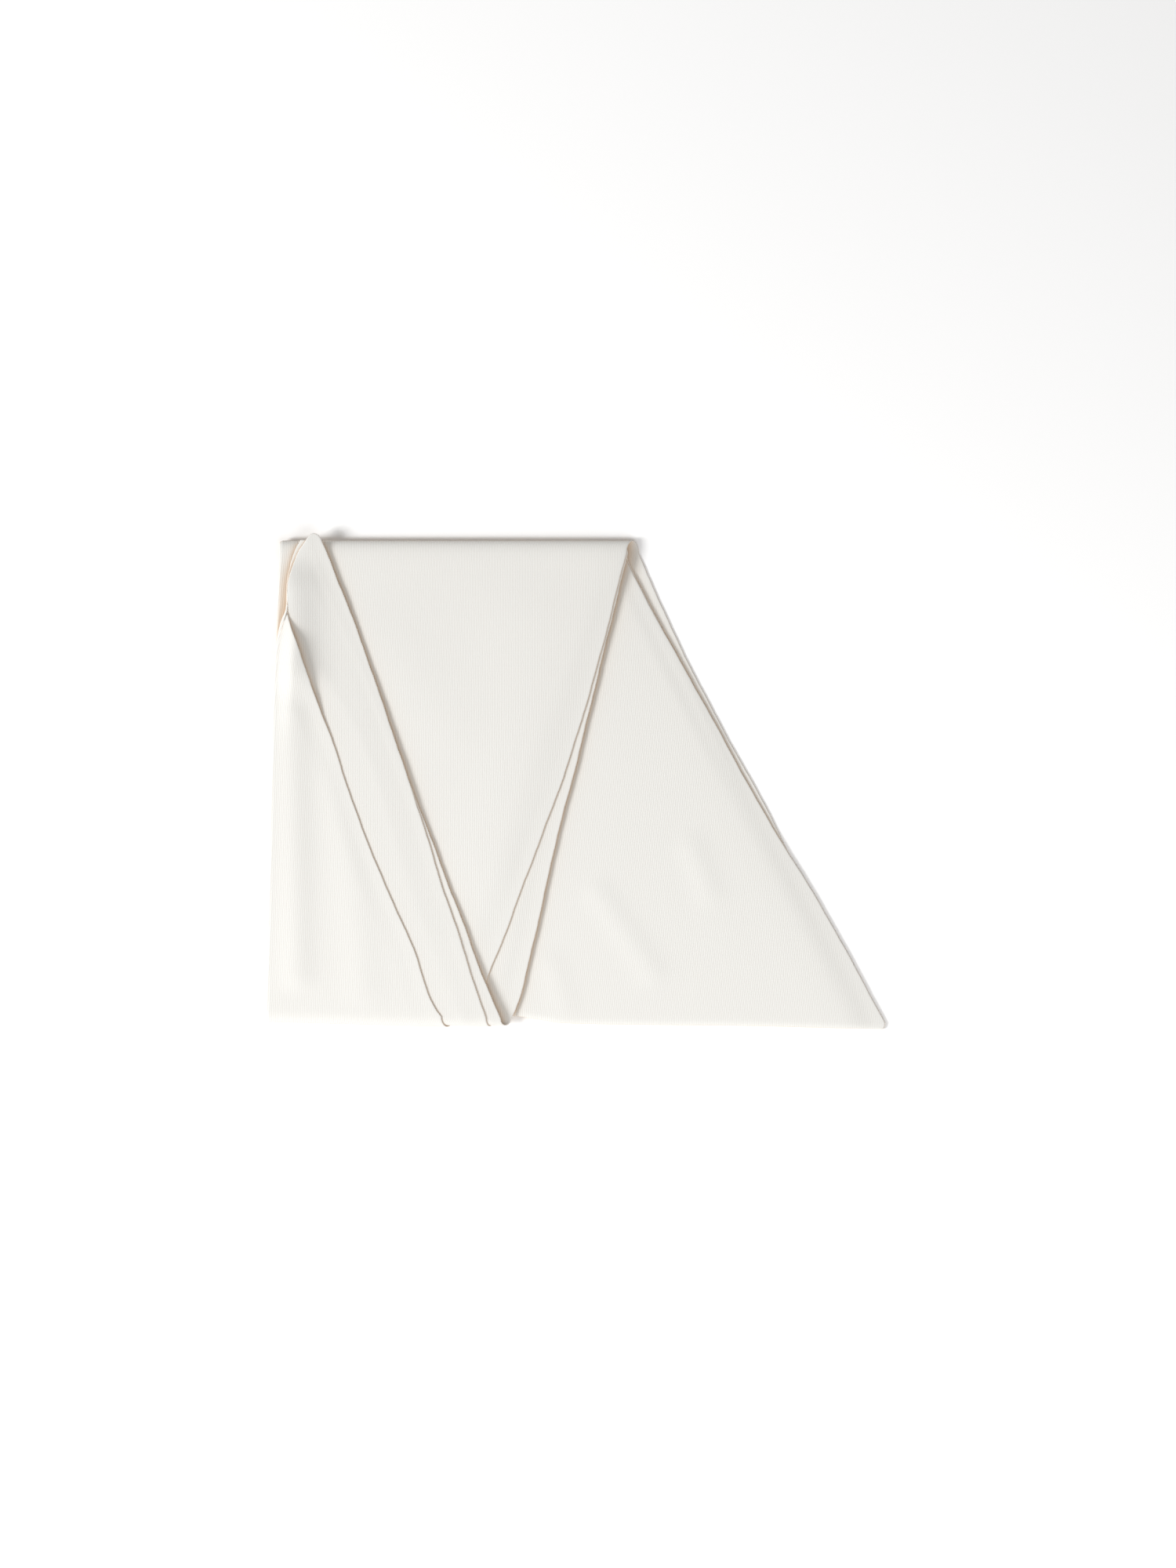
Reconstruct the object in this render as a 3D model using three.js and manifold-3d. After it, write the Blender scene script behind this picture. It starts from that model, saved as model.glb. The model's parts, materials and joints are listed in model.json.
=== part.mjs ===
// A triangular arm sling of fine ribbed knit cloth, folded flat for storage.
//
// The sling is one long diamond of cloth. It is folded lengthwise, then crosswise through its
// widest part, so four plies lie on each other with both points at the same end. That long
// wedge is folded twice more, like a letter, into three passes of four plies: the back pass
// lies on the table, the middle pass is hinged to it along the top fold, and the front pass,
// which holds the points, is hinged to the middle pass along the bottom fold.
//
// Millimetres. +X is right, +Y is towards the top fold, +Z is up, away from the table.
// The origin is the centre of the outline, on the table.

import * as THREE from 'three';
import { mergeVertices } from 'three/addons/utils/BufferGeometryUtils.js';
import Module from 'manifold-3d';

// Driving dimensions
const foldedWidth = 330;
const foldedDepth = 264;
const clothThickness = 0.7;
const plyGap = 0.3;
const pliesPerPass = 4;
const hemWidth = 5;
const topFoldBelowTip = 4;
const sideFoldSlant = 7;

// Heights in the stack
const plyPitch = clothThickness + plyGap;
const passHeight = pliesPerPass * plyPitch;

// Outline of the folded bundle
const leftX = -foldedWidth / 2;
const rightX = foldedWidth / 2;
const bottomY = -foldedDepth / 2;
const tipY = foldedDepth / 2;
const topY = tipY - topFoldBelowTip;

// Each of the two folds that the passes hinge on goes round four plies on either side of it
const bendRadius = passHeight - plyGap / 2;
const topHingeY = topY - bendRadius;
const bottomHingeY = bottomY + bendRadius;

// The crosswise fold through the widest part closes the back pass along its bottom edge
const endFoldRadius = (3 * plyPitch + clothThickness) / 2;
const endFoldY = bottomY + endFoldRadius;

const curveSteps = 8;
const roundSteps = 6;

const cloth = new THREE.MeshStandardMaterial({ color: 0xeeece4, roughness: 0.95, metalness: 0 });
const hemCloth = new THREE.MeshStandardMaterial({ color: 0xe6e2d8, roughness: 0.98, metalness: 0 });

const wasm = await Module();
wasm.setup();

function toSolid(geometry) {
  const plain = geometry.clone();
  plain.deleteAttribute('normal');
  plain.deleteAttribute('uv');
  const merged = mergeVertices(plain);
  return new wasm.Manifold(new wasm.Mesh({
    numProp: 3,
    vertProperties: new Float32Array(merged.attributes.position.array),
    triVerts: new Uint32Array(merged.index.array),
  }));
}

function toGeometry(solid) {
  const mesh = solid.getMesh();
  const geometry = new THREE.BufferGeometry();
  geometry.setAttribute('position', new THREE.BufferAttribute(mesh.vertProperties, 3));
  geometry.setIndex(new THREE.BufferAttribute(mesh.triVerts, 1));
  geometry.computeVertexNormals();
  return geometry;
}

function point(x, y) {
  return new THREE.Vector2(x, y);
}

function slab(points, height) {
  const geometry = new THREE.ExtrudeGeometry(new THREE.Shape(points), {
    depth: height,
    bevelEnabled: false,
  });
  return toSolid(geometry);
}

// X of the lengthwise fold, which is straight and leans slightly to the left on its way down
function sideFoldX(y) {
  return leftX + sideFoldSlant * (y - bottomY) / (topY - bottomY);
}

// A cut edge runs from its lower end to its upper end. bow moves its middle sideways.
function cutEdge(lower, upper, bow) {
  const middle = lower.clone().add(upper).multiplyScalar(0.5);
  const control = point(middle.x + 2 * bow, middle.y);
  return new THREE.QuadraticBezierCurve(lower, control, upper).getPoints(curveSteps);
}

// The plies start just inside the half-round of the lengthwise fold
const sideFoldRadius = (plyPitch + clothThickness) / 2;
const sideInset = sideFoldRadius + plyGap;

function sideEdge(lowY, highY) {
  return [point(sideFoldX(highY) + sideInset, highY), point(sideFoldX(lowY) + sideInset, lowY)];
}

// A strip as wide as the hem that lies along a cut edge, and reaches past both its ends
function hemBand(edge, width) {
  const lower = edge[0];
  const upper = edge[edge.length - 1];
  const along = upper.clone().sub(lower).normalize();
  const sideways = width / Math.abs(along.y);
  const reach = along.clone().multiplyScalar(2 * hemWidth);
  const outer = edge.map((p) => p.clone());
  outer[0].sub(reach);
  outer[outer.length - 1].add(reach);
  const inner = outer.map((p) => point(p.x - sideways, p.y));
  const past = outer.map((p) => point(p.x + hemWidth, p.y));
  return [...inner, ...past.reverse()];
}

const sling = new THREE.Group();

function addPiece(geometry, name, material) {
  const mesh = new THREE.Mesh(geometry, material);
  mesh.name = name;
  sling.add(mesh);
  return mesh;
}

// One ply and the hem along its cut edge, as two pieces with a small gap between them
function addPly(name, level, outline, edge) {
  const whole = slab(outline, clothThickness);
  const body = whole.subtract(slab(hemBand(edge, hemWidth + plyGap), clothThickness));
  const hem = whole.intersect(slab(hemBand(edge, hemWidth), clothThickness));
  addPiece(toGeometry(body), name, cloth).position.z = level * plyPitch;
  addPiece(toGeometry(hem), name.replace('ply', 'hem'), hemCloth).position.z = level * plyPitch;
}

// A plain ply: side fold on the left, cut edge on the right, folds above and below
function addPlainPly(name, level, lowY, highY, cutLow, cutHigh, bow) {
  const edge = cutEdge(point(cutLow, lowY), point(cutHigh, highY), bow);
  addPly(name, level, [...sideEdge(lowY, highY), ...edge], edge);
}

// The ply that is turned over last near a point: its side fold bends in to meet the cut edge
function addTurnedPly(name, level, lowY, foldEndY, cutLow, cutTop, bow) {
  const edge = cutEdge(point(cutLow, lowY), cutTop, bow);
  addPly(name, level, [...sideEdge(lowY, foldEndY), ...edge], edge);
}

// The ply that holds the point itself: above the end of the fold its left side is a cut edge
// that curves in to a rounded tip, like a leaf
function addLeafPly(name, level, lowY, foldEndY, cutLow, tip) {
  const shoulder = point(tip.x + tipRadius, tip.y - tipRadius);
  const edge = cutEdge(point(cutLow, lowY), shoulder, 0);
  const foldEnd = point(sideFoldX(foldEndY) + sideInset, foldEndY);
  const round = new THREE.QuadraticBezierCurve(shoulder, point(shoulder.x, tip.y), tip);
  const rise = tip.y - foldEndY;
  const leftSide = new THREE.CubicBezierCurve(
    tip,
    point(tip.x - leafShoulder, tip.y - rise / 8),
    point(tip.x - leafShoulder, tip.y - rise / 2),
    foldEnd,
  );
  const outline = [
    ...round.getPoints(roundSteps).slice(1, -1),
    ...leftSide.getPoints(curveSteps),
    ...sideEdge(lowY, foldEndY).slice(1),
    ...edge,
  ];
  addPly(name, level, outline, edge);
}

// A half-round of cloth that closes two plies along a straight fold. It is drawn in its own
// cross-section, with its back towards -X, and extruded along +Z before it is laid down.
function foldGeometry(innerRadius, length) {
  const outerRadius = innerRadius + clothThickness;
  const section = new THREE.Shape();
  section.absarc(0, 0, outerRadius, Math.PI / 2, 3 * Math.PI / 2, false);
  section.absarc(0, 0, innerRadius, 3 * Math.PI / 2, Math.PI / 2, true);
  return new THREE.ExtrudeGeometry(section, {
    depth: length,
    bevelEnabled: false,
    curveSegments: roundSteps,
  });
}

// Height of the middle of the gap above a level
function seamZ(level) {
  return (level + 1) * plyPitch - plyGap / 2;
}

// The lengthwise fold of two neighbouring plies, between level and the level above it
function addSideFold(name, level, lowY, highY) {
  const start = new THREE.Vector3(sideFoldX(lowY) + sideFoldRadius, lowY, seamZ(level));
  const end = new THREE.Vector3(sideFoldX(highY) + sideFoldRadius, highY, seamZ(level));
  const geometry = foldGeometry(plyGap / 2, end.distanceTo(start));
  geometry.rotateX(-Math.PI / 2);
  geometry.rotateZ(Math.atan2(start.x - end.x, end.y - start.y));
  addPiece(geometry, name, cloth).position.copy(start);
}

// The crosswise fold of the back pass, around innerPlies plies on each side of its seam
function addEndFold(name, innerPlies, cutX) {
  const startX = sideFoldX(bottomY) + sideInset;
  const geometry = foldGeometry(innerPlies * plyPitch + plyGap / 2, cutX - startX);
  geometry.rotateY(Math.PI / 2);
  geometry.rotateX(Math.PI / 2);
  addPiece(geometry, name, cloth).position.set(startX, endFoldY, seamZ(1));
}

// Where the cut edges of the plies cross the folds, as distances from the middle of the bundle
const tipRadius = 5;
const leafShoulder = 15;
const cornerX = rightX;
const innerCornerX = rightX - 10;
const topCutX = { first: 25, second: 27, third: 27, fourth: 28 };
const bottomCutX = { first: -67, second: -45, third: -37, fourth: -55 };
const topEnd = {
  first: topY - 11,
  second: topY - 9,
  third: topY - 7,
  fourth: topHingeY - plyGap / 2,
};
const flapPoint = point(-155, topY - 30);
const innerFlapPoint = point(-156, topY - 36);
const flapFoldEnd = topY - 67;
const leafTip = point(-140, tipY);
const innerLeafTip = point(-142, topY - 4);

// The back pass: four plies, closed at the bottom edge by the crosswise fold
function addBackPass() {
  const lowY = endFoldY + plyGap;
  addPlainPly('back_ply_1', 3, lowY, topEnd.first, cornerX, topCutX.first, 0);
  addPlainPly('back_ply_2', 2, lowY, topEnd.second, innerCornerX, topCutX.second, 0);
  addPlainPly('back_ply_3', 1, lowY, topEnd.third, innerCornerX, topCutX.third, 0);
  addPlainPly('back_ply_4', 0, lowY, topEnd.fourth, cornerX, topCutX.fourth + 6, -3);
  addSideFold('back_side_fold_upper', 2, lowY, topEnd.first);
  addSideFold('back_side_fold_lower', 0, lowY, topEnd.third);
  addEndFold('back_end_fold_inner', 0, innerCornerX);
  addEndFold('back_end_fold_outer', 1, cornerX);
}

// The middle pass: the same four plies in the opposite order, hinged along the top fold
function addMiddlePass() {
  const lowY = bottomHingeY + plyGap / 2;
  const cut = bottomCutX;
  addPlainPly('middle_ply_1', 7, lowY, topEnd.fourth, cut.fourth, topCutX.fourth, 5);
  addPlainPly('middle_ply_2', 6, lowY, topEnd.third, cut.third, topCutX.third, 0);
  addPlainPly('middle_ply_3', 5, lowY, topEnd.second, cut.second, topCutX.second, 0);
  addPlainPly('middle_ply_4', 4, lowY, topEnd.first, cut.first, topCutX.first, 0);
  addSideFold('middle_side_fold_upper', 6, lowY, topEnd.third);
  addSideFold('middle_side_fold_lower', 4, lowY, topEnd.first);
}

// The front pass: the two points of the diamond, hinged along the bottom fold
function addFrontPass() {
  const lowY = bottomHingeY + plyGap / 2;
  const cut = bottomCutX;
  addTurnedPly('front_ply_1', 11, lowY, flapFoldEnd, cut.first, flapPoint, -7);
  addLeafPly('front_ply_2', 10, lowY, flapFoldEnd, cut.second, leafTip);
  addLeafPly('front_ply_3', 9, lowY, flapFoldEnd, cut.third, innerLeafTip);
  addTurnedPly('front_ply_4', 8, lowY, flapFoldEnd, cut.fourth, innerFlapPoint, 0);
  addSideFold('front_side_fold_upper', 10, lowY, flapFoldEnd);
  addSideFold('front_side_fold_lower', 8, lowY, flapFoldEnd);
}

addBackPass();
addMiddlePass();
addFrontPass();

export default sling;
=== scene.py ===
"""A triangular arm sling of fine ribbed knit cloth, folded flat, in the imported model's frame.

The cloth is one long diamond. It is folded lengthwise, then crosswise, then twice more like a
letter, so the bundle holds three passes of four plies. Every ply is drawn as a sheet that is
laid on the ones below it, and neighbouring plies are joined round their folds. The sheet is
split into three pieces, one for each pass, with the two letter folds bending between passes.
"""

import json
import math

import bpy
import numpy as np
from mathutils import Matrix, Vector


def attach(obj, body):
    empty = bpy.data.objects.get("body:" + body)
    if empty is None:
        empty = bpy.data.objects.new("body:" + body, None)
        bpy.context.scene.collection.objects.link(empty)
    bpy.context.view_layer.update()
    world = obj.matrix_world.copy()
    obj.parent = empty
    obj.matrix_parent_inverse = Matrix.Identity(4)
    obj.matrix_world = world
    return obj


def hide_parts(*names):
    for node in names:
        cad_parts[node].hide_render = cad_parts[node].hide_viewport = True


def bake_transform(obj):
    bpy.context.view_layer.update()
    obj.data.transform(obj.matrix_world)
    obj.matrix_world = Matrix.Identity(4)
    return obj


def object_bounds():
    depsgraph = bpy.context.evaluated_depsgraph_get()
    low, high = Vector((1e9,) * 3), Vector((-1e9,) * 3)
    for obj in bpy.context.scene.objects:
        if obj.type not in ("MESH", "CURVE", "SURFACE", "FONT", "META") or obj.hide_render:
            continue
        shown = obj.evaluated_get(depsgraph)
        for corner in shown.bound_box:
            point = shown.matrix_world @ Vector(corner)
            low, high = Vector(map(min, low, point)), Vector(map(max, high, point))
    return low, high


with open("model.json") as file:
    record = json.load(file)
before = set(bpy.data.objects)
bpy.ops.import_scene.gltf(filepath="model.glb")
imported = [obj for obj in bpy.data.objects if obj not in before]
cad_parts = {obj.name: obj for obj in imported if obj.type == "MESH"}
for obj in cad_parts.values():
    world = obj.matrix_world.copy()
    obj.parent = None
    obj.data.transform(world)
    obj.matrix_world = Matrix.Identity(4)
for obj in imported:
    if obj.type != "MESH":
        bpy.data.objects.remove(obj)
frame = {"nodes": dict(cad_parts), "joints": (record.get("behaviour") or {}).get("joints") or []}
cad_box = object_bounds()

MM = 0.001

# Sizes of the folded bundle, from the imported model
LOW, HIGH = cad_box
LEFT, RIGHT = LOW.x / MM, HIGH.x / MM
BOTTOM, TIP = LOW.y / MM, HIGH.y / MM
FOLD_HEIGHT = {j["name"]: j["pos_m"][2] / MM for j in frame["joints"]}
TOP_SEAM = FOLD_HEIGHT["top_fold"]
BOTTOM_SEAM = FOLD_HEIGHT["bottom_fold"]

# Cloth, in millimetres: its thickness, the air under each ply, the hem's width, how much
# thicker it is, where that fades out, and the round at the cut edge
CLOTH = 0.62
LOFT = 0.14
HEM = 5.0
HEM_EXTRA = 0.06
HEM_FADE = (HEM - 2, HEM + 1)
EDGE_ROUND = 0.6

# Knit and overlock, in millimetres: rib pitch, row pitch, stitch pitch, thread radius, and how
# far each point of a stitch strays
RIB = 0.97
COURSE = 0.80
STITCH = 1.3
THREAD = 0.17
STITCH_STRAY = 0.12

# Mesh fineness, in millimetres: rows, height grid, columns beside a cut edge and rows at the
# point. The side fold and the other folds have so many steps round them
ROW_STEP = 3.0
FEWEST_ROWS = 3
GRID_STEP = 1.0
EDGE_OFFSETS = np.array([0.0, 0.07, 0.25, 0.6, 1.2, 2.2, 3.4, 4.5, 5.1, 5.8])
TIP_ROWS = np.array([0.0, 0.07, 0.25, 0.6, 1.2, 2.0, 3.2, 4.6])
FOLD_STEPS = 8
BEND_STEPS = 9

# Keeps a division away from zero
TINY = 1e-9


# ---------------------------------------------------------------- curves and fields

def smooth_curve(*points):
    """x as a smooth function of y through a few (y, x) points, straight beyond both ends."""
    ordered = np.array(sorted(points), float)
    ys, xs = ordered[:, 0], ordered[:, 1]
    slopes = gentle_slopes(ys, xs)

    def curve(y):
        y = np.asarray(y, float)
        inside = np.clip(y, ys[0], ys[-1])
        i = np.clip(np.searchsorted(ys, inside, side="right") - 1, 0, len(ys) - 2)
        span = ys[i + 1] - ys[i]
        t = (inside - ys[i]) / span
        value = (
            (2 * t**3 - 3 * t**2 + 1) * xs[i]
            + (t**3 - 2 * t**2 + t) * span * slopes[i]
            + (3 * t**2 - 2 * t**3) * xs[i + 1]
            + (t**3 - t**2) * span * slopes[i + 1]
        )
        end_slope = np.where(y < ys[0], slopes[0], slopes[-1])
        return value + (y - inside) * end_slope

    return curve


def gentle_slopes(ys, xs):
    """A slope at every point that never makes the curve swing past its neighbours."""
    gaps = np.diff(ys)
    rates = np.diff(xs) / gaps
    before, after = rates[:-1], rates[1:]
    near, far = 2 * gaps[1:] + gaps[:-1], gaps[1:] + 2 * gaps[:-1]
    same_way = before * after > 0
    inner = np.zeros(len(before))
    before, after, near, far = (v[same_way] for v in (before, after, near, far))
    inner[same_way] = (near + far) / (near / before + far / after)
    return np.concatenate([rates[:1], inner, rates[-1:]])


def smoothstep(low, high, value):
    """0 up to low and 1 from high on, or the reverse if low is the higher."""
    t = np.clip((np.asarray(value, float) - low) / (high - low), 0, 1)
    return t * t * (3 - 2 * t)


# The height grid, with a margin round the bundle
MARGIN = 8
GRID_X = np.arange(LEFT - MARGIN, RIGHT + MARGIN, GRID_STEP)
GRID_Y = np.arange(BOTTOM - MARGIN, TIP + MARGIN, GRID_STEP)
X, Y = np.meshgrid(GRID_X, GRID_Y)

# How far a blur reaches, in its own radii, and how a drape is found: by rounds of blurring and
# one last soft blur
BLUR_REACH = 3
DRAPE_ROUNDS = 5
DRAPE_SOFTNESS = 1.2

# Keeps a sampled point inside the last cell of the grid
BEFORE_LAST = 1.001


def blur(field, radius):
    """A Gaussian blur of the height grid."""
    reach = int(BLUR_REACH * radius)
    taps = np.arange(-reach, reach + 1)
    kernel = np.exp(-0.5 * (taps / radius) ** 2)
    kernel /= kernel.sum()
    for axis in (0, 1):
        border = [(reach, reach) if a == axis else (0, 0) for a in (0, 1)]
        padded = np.pad(field, border, "edge")
        field = sum(
            k * np.take(padded, range(n, n + field.shape[axis]), axis)
            for n, k in enumerate(kernel)
        )
    return field


def drape(base, stiffness):
    """A cloth laid on base: it rests on what is high and spans what is low."""
    top = base
    for _ in range(DRAPE_ROUNDS):
        top = np.maximum(base, blur(top, stiffness))
    return blur(top, DRAPE_SOFTNESS)


def sample(field, x, y):
    """The height grid's value at any point, bilinear."""
    fx = np.clip((np.asarray(x) - GRID_X[0]) / GRID_STEP, 0, len(GRID_X) - BEFORE_LAST)
    fy = np.clip((np.asarray(y) - GRID_Y[0]) / GRID_STEP, 0, len(GRID_Y) - BEFORE_LAST)
    i, j = fy.astype(int), fx.astype(int)
    u, v = fx - j, fy - i
    return (
        field[i, j] * (1 - u) * (1 - v)
        + field[i, j + 1] * u * (1 - v)
        + field[i + 1, j] * (1 - u) * v
        + field[i + 1, j + 1] * u * v
    )


def ridge(start, end, width, height):
    """A soft raised crease along a line, fading at both ends."""
    a, b = np.array(start, float), np.array(end, float)
    length = np.linalg.norm(b - a)
    along = (b - a) / length
    dx, dy = X - a[0], Y - a[1]
    run = dx * along[0] + dy * along[1]
    off = dx * -along[1] + dy * along[0]
    ends = smoothstep(-width, width, run) * smoothstep(-width, width, length - run)
    return height * ends * np.exp(-0.5 * (off / width) ** 2)


def ripple(seed, scale, height):
    """Gentle unevenness: seeded noise, blurred."""
    noise = np.random.default_rng(seed).standard_normal(X.shape)
    soft = blur(noise, scale)
    return height * soft / np.abs(soft).max()


# ---------------------------------------------------------------- the plies' outlines

# Y of the place where the top ply's cut edge meets the lengthwise fold and turns over, and of
# the cloth's point
LEAF_TURN = 92.0
POINT = 132.4

# The lengthwise fold: of the passes below, of the front pass up to the turn, and above the turn
# the left edge of the leaf that ends in the point and of the one under it
side_fold = smooth_curve(
    (-132, -165.9), (-86, -165), (-44, -164), (40, -162), (82, -160.4), (128, -158.6),
)
front_fold = smooth_curve(
    (-132, -165.9), (-44, -164), (30, -162.4), (57, -161.4), (74, -160), (84, -158),
    (LEAF_TURN, -154.6),
)
leaf_side = smooth_curve(
    (LEAF_TURN, -154.6), (99, -154.6), (105.2, -154.1), (111.5, -152.6), (115.7, -151.2),
    (122, -148.9), (128.3, -144.7), (130.8, -143), (131.8, -142), (POINT, -140.7),
)
under_leaf_side = smooth_curve(
    (LEAF_TURN, -155.2), (105, -154.9), (113, -153.4), (119.9, -151.5), (124.1, -149.9),
    (128.8, -147.3),
)

# Every ply's cut edge, numbered from the top of its pass
cut_edges = {
    "front_1": smooth_curve(
        (LEAF_TURN, -154.6), (85.3, -153.1), (75.8, -149.9), (63.2, -145.7), (51.7, -141.6),
        (33.8, -135.2), (18, -129), (-6, -121.4), (-56, -102), (-87, -88), (-124.4, -73.6),
        (-132, -65.5),
    ),
    "front_2": smooth_curve(
        (POINT, -139.9), (131.9, -138.6), (130.8, -137.3), (127.3, -135.7), (123.1, -133.7),
        (108.4, -127.9), (92.6, -121.6), (75.8, -115.3), (47.5, -105.5), (26.5, -98.3),
        (7.6, -92), (-24, -81.5), (-56.5, -71.6), (-71.9, -66.3), (-89.4, -60.4),
        (-109.7, -54.2), (-130.7, -46.9),
    ),
    "front_3": smooth_curve(
        (128, -142), (17, -96), (-39, -74.5), (-56.5, -68), (-78.9, -59.3), (-104.1, -50.2),
        (-120.9, -43.2), (-132, -38.3),
    ),
    "front_4": smooth_curve((LEAF_TURN, -155), (20, -112), (-60, -86), (-132, -57)),
    "middle_1": smooth_curve(
        (126, 28), (118, 26), (62, 11.6), (4, -6), (-30, -18.5), (-56.5, -28.5), (-79.6, -36.9),
        (-104.8, -47), (-132, -57),
    ),
    "middle_2": smooth_curve(
        (126, 29), (118, 27), (49, 10), (4, -1), (-32, -10.5), (-56.5, -15.9), (-93.5, -24.3),
        (-118.1, -30.6), (-126.5, -34.1), (-132, -37),
    ),
    "middle_3": smooth_curve((126, 28), (118, 25), (0, -11), (-132, -45)),
    "middle_4": smooth_curve((117, 22), (0, -26), (-132, -67)),
    "back_1": smooth_curve(
        (117.5, 27.2), (107.3, 32.4), (86.3, 43.6), (60.4, 58), (40, 69.5), (17, 82), (-19, 102),
        (-69, 132.5), (-132, 167),
    ),
    "back_2": smooth_curve(
        (117.5, 28.2), (107.3, 33.2), (86.3, 43.8), (60.4, 57.6), (0, 86), (-132, 155),
    ),
    "back_3": smooth_curve((118, 20), (60, 48), (0, 80), (-132, 150)),
    "back_4": smooth_curve(
        (127.5, 31), (113, 37.5), (102, 42.3), (77, 53.6), (47, 68.6), (20, 83), (1.5, 93.3),
        (-21, 105.6), (-38, 113.5), (-132, 164),
    ),
}


# Y of the top fold, and of the bottom fold at the left, which falls by so much to the right
TOP_FOLD = 128.7
LOW_FOLD = -129.5
LOW_FOLD_LEFT = -165
LOW_FOLD_FALL = 0.026


def top_line(x):
    """Y of the top fold, which is level."""
    return np.full(np.shape(x), TOP_FOLD)


def low_line(x):
    """Y of the bottom fold of the front and middle passes, which falls a little to the right."""
    return LOW_FOLD - LOW_FOLD_FALL * (x - LOW_FOLD_LEFT)


# Y of the bottom fold of the back pass, at a few x: it is drawn up where the other passes cover it
end_line = smooth_curve(
    (-165, -125.5), (-45, -125.8), (-31, -126.5), (-17.5, -128.6), (-6, -130.3), (27.5, -131.1),
    (90.5, -131.7), (132.5, -132.8), (153.5, -133.3),
)


# ---------------------------------------------------------------- the plies

# How far past its flat part a ply still holds up what lies on it
SUPPORT = 6

# How far the front pass's lower fold lies inside its upper one, and the height over which it
# draws level at the turn
UNDER_INSET = 1.0
UNDER_FADE = 10


class Ply:
    """One layer of one pass: its outline, its heights, and where its flat part ends."""

    def __init__(self, fold, cut, low_end, high_end):
        self.fold = fold
        self.cut = cut
        self.low_end = low_end
        self.high_end = high_end
        self.height = None

    def covers(self):
        """Where the ply holds up what lies on it: as far as its cut edge, and past its folds."""
        inside = (X >= self.fold(Y) - SUPPORT) & (X <= self.cut(Y))
        return inside & (Y >= self.low_end(X) - SUPPORT) & (Y <= self.high_end(X) + SUPPORT)

    def edge_distance(self):
        """Distance in from the cut edge over the whole height grid."""
        slope = (self.cut(Y + 1) - self.cut(Y - 1)) / 2
        return (self.cut(Y) - X) / np.hypot(1, slope)


def inside_of(line, inset):
    """The line moved into the bundle by inset, which is negative at the top fold."""
    return lambda x: line(x) + inset


def front_side(leaf, inset):
    """The left side of a front ply: the fold, and above its end the cut edge of the leaf."""
    def side(y):
        tucked = inset * smoothstep(LEAF_TURN, LEAF_TURN - UNDER_FADE, y)
        return np.where(np.asarray(y) > LEAF_TURN, leaf(y), front_fold(y) + tucked)

    return side


def at_tip(x):
    """The front pass ends at the cloth's own point."""
    return np.full(np.shape(x), POINT)


# Where each ply turns round a fold: how far its outermost line lies inside the outline, and
# how long the rounded part is
TOP_TURN = {"a": (-10.6, 1.3), "b": (-8.4, 2.4), "c": (-1.9, 5.0), "d": (-0.3, 6.5)}
LOW_TURN = {"a": (0.3, 5.5), "b": (1.1, 4.3), "c": (1.7, 3.4), "d": (6.0, 1.0)}
END_TURN = {"a": (0.3, 3.2), "b": (1.8, 1.4), "c": (1.8, 1.4), "d": (0.3, 3.2)}


def turn_ends(layer):
    """Where a layer's flat parts start and end, for the top, bottom and end folds."""
    top = inside_of(top_line, TOP_TURN[layer][0] - TOP_TURN[layer][1])
    low = inside_of(low_line, LOW_TURN[layer][0] + LOW_TURN[layer][1])
    end = inside_of(end_line, END_TURN[layer][0] + END_TURN[layer][1])
    return top, low, end


def make_plies():
    """Every ply by pass and layer: a and b hold one point of the cloth, c and d the other."""
    plies = {}
    numbers = {"front": "abcd", "middle": "dcba", "back": "abcd"}
    for part, layers in numbers.items():
        for number, layer in enumerate(layers, 1):
            top, low, end = turn_ends(layer)
            leaf = leaf_side if layer in "ab" else under_leaf_side
            fold = front_side(leaf, UNDER_INSET * (layer in "cd")) if part == "front" else side_fold
            cut = cut_edges[f"{part}_{number}"]
            if part == "front" and layer in "ad":
                cut = turned_cut(cut, leaf)
            ends = {"front": (low, at_tip), "middle": (low, top), "back": (end, top)}[part]
            plies[part, layer] = Ply(fold, cut, *ends)
    return plies


def turned_cut(cut, leaf):
    """A turned-over ply has no width above the place where its cut edge meets the fold."""
    return lambda y: np.where(np.asarray(y) > LEAF_TURN, leaf(y), cut(y))


# ---------------------------------------------------------------- heights of the stack

# Each pass keeps clear of the planes of the two hinges, so its points turn with their own body
HINGE_GAP = 0.15
FLOOR_SLACK = 0.05
PASS_FLOOR = {
    "back": 0.0,
    "middle": TOP_SEAM + HINGE_GAP + FLOOR_SLACK,
    "front": BOTTOM_SEAM + HINGE_GAP + FLOOR_SLACK,
}
PASS_ROOF = {"back": TOP_SEAM - HINGE_GAP, "middle": BOTTOM_SEAM - HINGE_GAP, "front": math.inf}
ROOF_SOFTNESS = 0.12

# The plies from the floor up, and those that show
STACK = (
    [("back", layer) for layer in "dcba"]
    + [("middle", layer) for layer in "abcd"]
    + [("front", layer) for layer in "dcba"]
)
SEEN = [("back", "a"), ("middle", "c"), ("middle", "d"), ("front", "b"), ("front", "a")]

# How a ply lies on the one below: its stiffness, how far in from its edge it is held down, and
# how its edge curls up
STIFFNESS = 4
HELD_DOWN = 14
EDGE_CURL = 0.05
CURL_REACH = 4.0

# Unevenness of the plies that show, pass by pass, and of hidden ones: a broad ripple, and a
# fine one that is lower
UNEVENNESS = {"front": 0.4, "middle": 0.3, "back": 0.3}
HIDDEN_UNEVENNESS = 0.05
BROAD_RIPPLE = 16
FINE_RIPPLE = 6
BROAD_TO_FINE = 5
FIRST_SEED = 3
SEED_STEP = 7


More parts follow.
